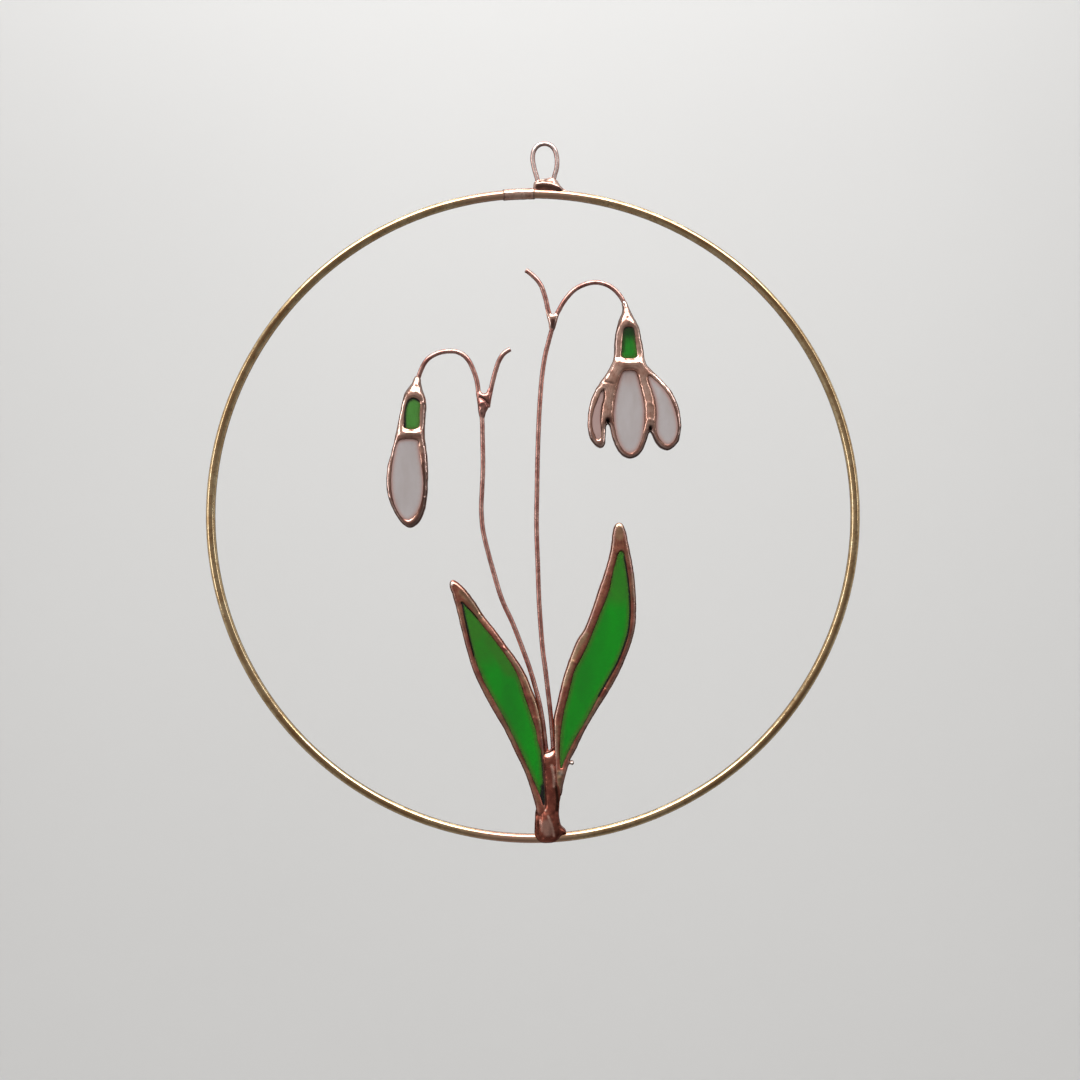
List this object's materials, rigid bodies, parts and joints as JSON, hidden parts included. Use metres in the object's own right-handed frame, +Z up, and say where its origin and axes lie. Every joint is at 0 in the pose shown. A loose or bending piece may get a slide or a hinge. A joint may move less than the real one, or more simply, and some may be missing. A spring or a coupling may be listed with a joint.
{
  "type": "stained glass snowdrop suncatcher",
  "caption": "Stained glass snowdrop suncatcher: green leaves, a bell of milky petals and a closed bud on copper wire stems, soldered inside a round brass hoop with a wire hanging loop",
  "frame": {"origin": "the top of the space inside the hanging loop, where a hook or a thread would carry the piece", "axes": "+Z is up as it hangs, +X is to the right seen from the front, and the front faces -Y"},
  "size_m": [0.15, 0.005, 0.161],
  "materials": {
    "hoop_brass": "polished brass wire with a faint copper tint near the solder",
    "copper_foil": "copper foil over solder, lightly dimpled, satin",
    "copper_wire": "dark red-brown copper wire, satin",
    "copper_solder": "copper-patinated solder, bright and lumpy",
    "green_glass": "saturated leaf green cathedral glass, smooth",
    "lime_glass": "lighter yellow-green glass, smooth",
    "opal_glass": "milky wispy glass, pale lilac grey"
  },
  "bodies": {
    "root": {"hoop": "hoop_brass", "hoop_foil_wrap": "copper_foil", "hang_loop": "copper_wire", "loop_solder": "copper_solder", "tall_stem": "copper_wire", "tall_spathe": "copper_wire", "tall_fork_solder": "copper_solder", "short_stem": "copper_wire", "short_spathe": "copper_wire", "short_fork_solder": "copper_solder", "flower_calyx_glass": "green_glass", "flower_petal_left_glass": "opal_glass", "flower_petal_centre_glass": "opal_glass", "flower_petal_right_glass": "opal_glass", "flower_frame": "copper_solder", "bud_calyx_glass": "lime_glass", "bud_petal_glass": "opal_glass", "bud_frame": "copper_solder", "left_leaf_glass": "green_glass", "left_leaf_rim": "copper_foil", "right_leaf_glass": "green_glass", "right_leaf_rim": "copper_foil", "base_solder": "copper_solder"}
  },
  "joints": []
}
